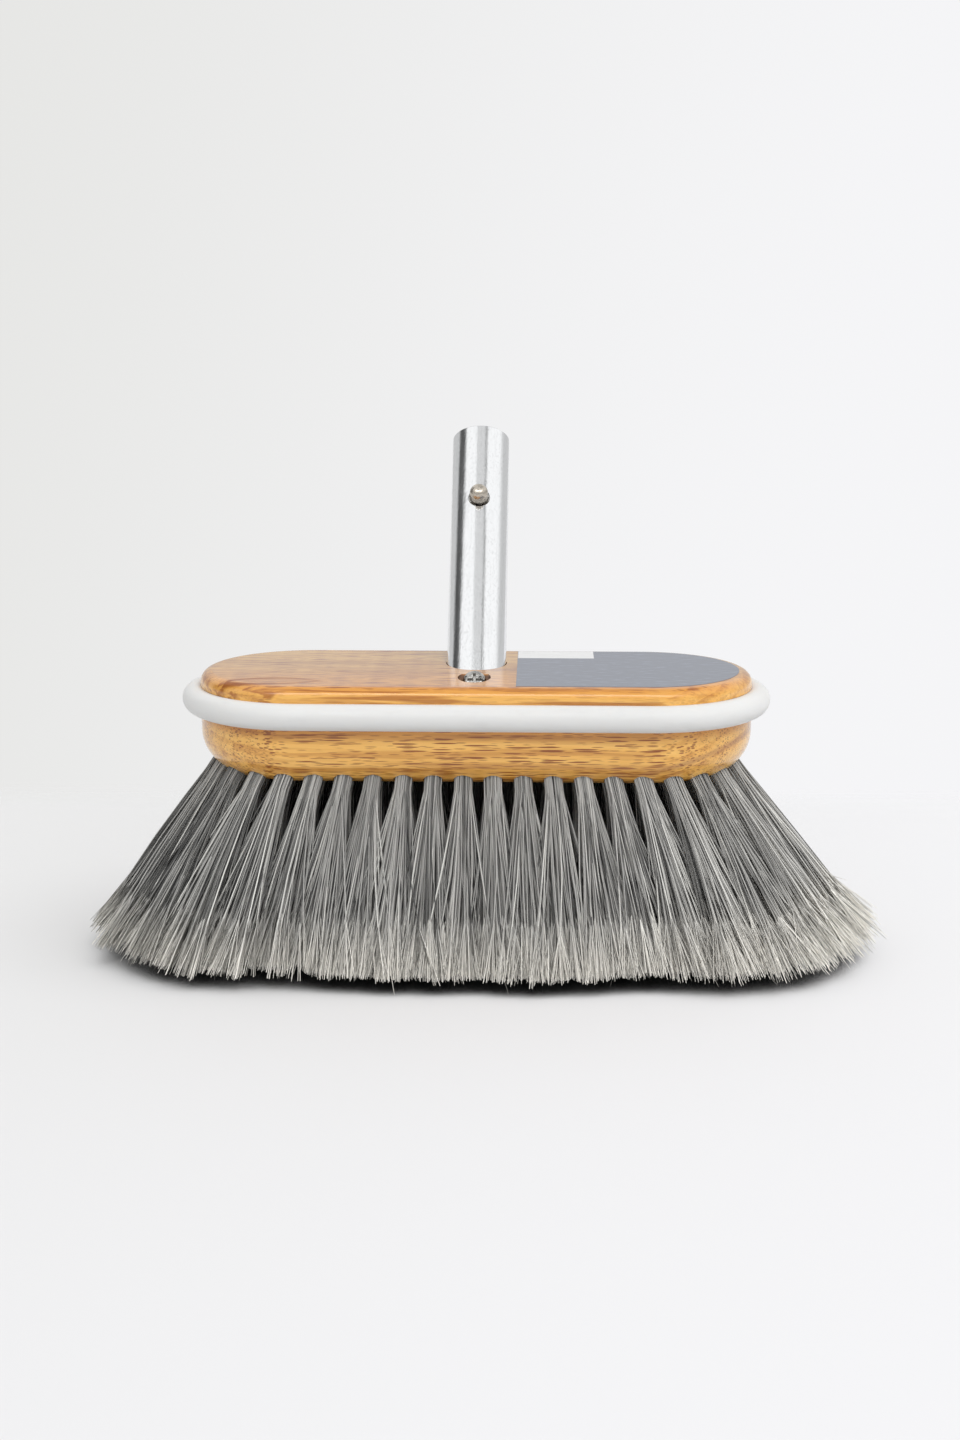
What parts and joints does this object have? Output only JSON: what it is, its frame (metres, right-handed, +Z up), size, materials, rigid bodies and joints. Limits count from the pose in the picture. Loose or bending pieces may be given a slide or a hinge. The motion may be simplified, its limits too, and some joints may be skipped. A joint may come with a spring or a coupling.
{
  "type": "scrub brush",
  "caption": "Soft deck scrub brush head: round-ended wooden block with a vinyl bumper, flared flagged bristles and a leaning metal tube with a snap button for a pole.",
  "frame": {"origin": "on the floor under the block's centre, where the middle tufts stand", "axes": "+Z up, +X along the block towards the sticker's end, +Y to the side that the tube leans to"},
  "size_m": [0.3386, 0.1593, 0.2191],
  "materials": {
    "varnished_wood": "clear varnish",
    "white_vinyl": "smooth",
    "bright_tube": "bright drawn",
    "button_metal": "nickel plated",
    "plain_steel": "bright zinc",
    "label_film": "satin film",
    "grey_bristle": "soft flagged filament"
  },
  "bodies": {
    "brush": {"brush_block": "varnished_wood", "bumper_ring": "white_vinyl", "handle_tube": "bright_tube", "snap_spring": "plain_steel", "tube_screw": "plain_steel", "label_sticker": "label_film", "centre_tufts": "grey_bristle", "inner_front_tufts": "grey_bristle", "inner_back_tufts": "grey_bristle", "inner_left_tufts": "grey_bristle", "inner_right_tufts": "grey_bristle", "middle_front_tufts": "grey_bristle", "middle_back_tufts": "grey_bristle", "middle_left_tufts": "grey_bristle", "middle_right_tufts": "grey_bristle", "outer_front_tufts": "grey_bristle", "outer_back_tufts": "grey_bristle", "outer_left_tufts": "grey_bristle", "outer_right_tufts": "grey_bristle", "centre_staples": "plain_steel", "inner_staples": "plain_steel", "middle_staples": "plain_steel", "outer_staples": "plain_steel"},
    "button": {"snap_button": "button_metal"}
  },
  "joints": [
    {"name": "button_press", "type": "slide", "parent": "brush", "child": "button", "axis": [0, 0.7934, -0.6088], "range_m": [0, 0.0068], "stiffness_N_per_m": 1200, "springref_m": -0.002, "deforming": ["snap_spring"]}
  ]
}
